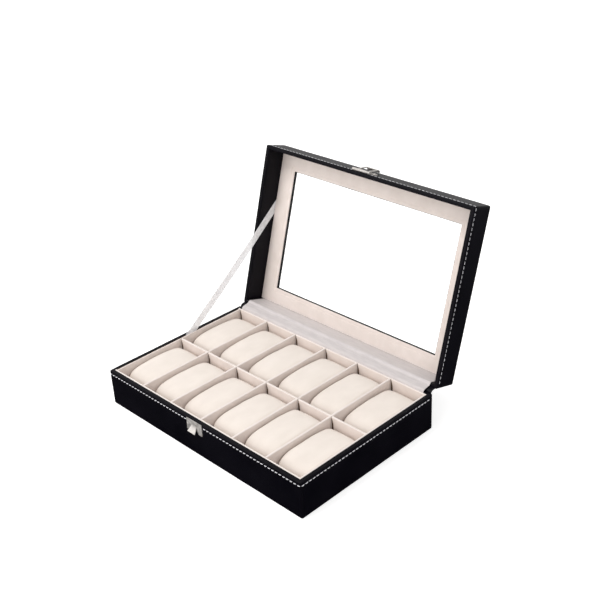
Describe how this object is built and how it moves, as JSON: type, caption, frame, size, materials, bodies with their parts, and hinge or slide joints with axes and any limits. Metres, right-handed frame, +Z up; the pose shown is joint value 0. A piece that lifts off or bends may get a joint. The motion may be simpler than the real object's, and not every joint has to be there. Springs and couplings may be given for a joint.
{
  "type": "watch box",
  "caption": "Flat rectangular watch case with soft lifting pillows in cells and a hinged glass-window lid held open by a ribbon.",
  "frame": {"origin": "centre of the base's flat underside", "axes": "+X to the box's right along its length, +Y to the hinge side, +Z up; the lid stands open at rest"},
  "size_m": [0.3, 0.2916, 0.2353],
  "materials": {
    "black_leather": "grained black leather, semi-gloss",
    "board": "raw fibreboard",
    "velour": "short-pile beige velour",
    "pillow_velour": "short-pile cream velour",
    "satin": "pale satin",
    "ribbon": "white satin ribbon",
    "nickel": "nickel-plated steel sheet",
    "window_glass": "clear flat glass",
    "underside_felt": "black felt"
  },
  "bodies": {
    "base": {"underside_sheet": "underside_felt", "base_floor_board": "board", "base_front_board": "board", "base_back_board": "board", "base_left_board": "board", "base_right_board": "board", "base_leather": "black_leather", "lining_floor": "velour", "lining_front": "velour", "lining_back": "velour", "lining_left": "velour", "lining_right": "velour", "long_divider": "velour", "cross_divider_1": "velour", "cross_divider_2": "velour", "cross_divider_3": "velour", "cross_divider_4": "velour", "cross_divider_5": "velour", "catch_plate": "nickel", "catch_nails": "nickel", "hinge_leather": "black_leather", "hinge_satin": "satin", "stay_ribbon": "ribbon"},
    "lid": {"lid_front_board": "board", "lid_back_board": "board", "lid_left_board": "board", "lid_right_board": "board", "lid_top_frame": "board", "lid_leather": "black_leather", "window_glass": "window_glass", "lid_inner_panel": "velour", "hasp_plate": "nickel", "hasp_nails": "nickel", "hasp_pin": "nickel"},
    "hasp": {"hasp_flap": "nickel"},
    "pillow_01": {"pillow_01": "pillow_velour"},
    "pillow_02": {"pillow_02": "pillow_velour"},
    "pillow_03": {"pillow_03": "pillow_velour"},
    "pillow_04": {"pillow_04": "pillow_velour"},
    "pillow_05": {"pillow_05": "pillow_velour"},
    "pillow_06": {"pillow_06": "pillow_velour"},
    "pillow_07": {"pillow_07": "pillow_velour"},
    "pillow_08": {"pillow_08": "pillow_velour"},
    "pillow_09": {"pillow_09": "pillow_velour"},
    "pillow_10": {"pillow_10": "pillow_velour"},
    "pillow_11": {"pillow_11": "pillow_velour"},
    "pillow_12": {"pillow_12": "pillow_velour"}
  },
  "joints": [
    {"name": "lid_hinge", "type": "hinge", "parent": "base", "child": "lid", "pos_m": [0, 0.1018, 0.04165], "axis": [-1, 0, 0], "range_deg": [-106.5, 0], "deforming": ["hinge_leather", "hinge_satin", "stay_ribbon"]},
    {"name": "hasp_swing", "type": "hinge", "parent": "lid", "child": "hasp", "pos_m": [-0.003, 0.1626, 0.23369], "axis": [-1, 0, 0], "range_deg": [-173, 0]},
    {"name": "pillow_01_lift", "type": "slide", "parent": "base", "child": "pillow_01", "axis": [0, 0, 1], "range_m": [0, 0.06]},
    {"name": "pillow_02_lift", "type": "slide", "parent": "base", "child": "pillow_02", "axis": [0, 0, 1], "range_m": [0, 0.06]},
    {"name": "pillow_03_lift", "type": "slide", "parent": "base", "child": "pillow_03", "axis": [0, 0, 1], "range_m": [0, 0.06]},
    {"name": "pillow_04_lift", "type": "slide", "parent": "base", "child": "pillow_04", "axis": [0, 0, 1], "range_m": [0, 0.06]},
    {"name": "pillow_05_lift", "type": "slide", "parent": "base", "child": "pillow_05", "axis": [0, 0, 1], "range_m": [0, 0.06]},
    {"name": "pillow_06_lift", "type": "slide", "parent": "base", "child": "pillow_06", "axis": [0, 0, 1], "range_m": [0, 0.06]},
    {"name": "pillow_07_lift", "type": "slide", "parent": "base", "child": "pillow_07", "axis": [0, 0, 1], "range_m": [0, 0.06]},
    {"name": "pillow_08_lift", "type": "slide", "parent": "base", "child": "pillow_08", "axis": [0, 0, 1], "range_m": [0, 0.06]},
    {"name": "pillow_09_lift", "type": "slide", "parent": "base", "child": "pillow_09", "axis": [0, 0, 1], "range_m": [0, 0.06]},
    {"name": "pillow_10_lift", "type": "slide", "parent": "base", "child": "pillow_10", "axis": [0, 0, 1], "range_m": [0, 0.06]},
    {"name": "pillow_11_lift", "type": "slide", "parent": "base", "child": "pillow_11", "axis": [0, 0, 1], "range_m": [0, 0.06]},
    {"name": "pillow_12_lift", "type": "slide", "parent": "base", "child": "pillow_12", "axis": [0, 0, 1], "range_m": [0, 0.06]}
  ]
}
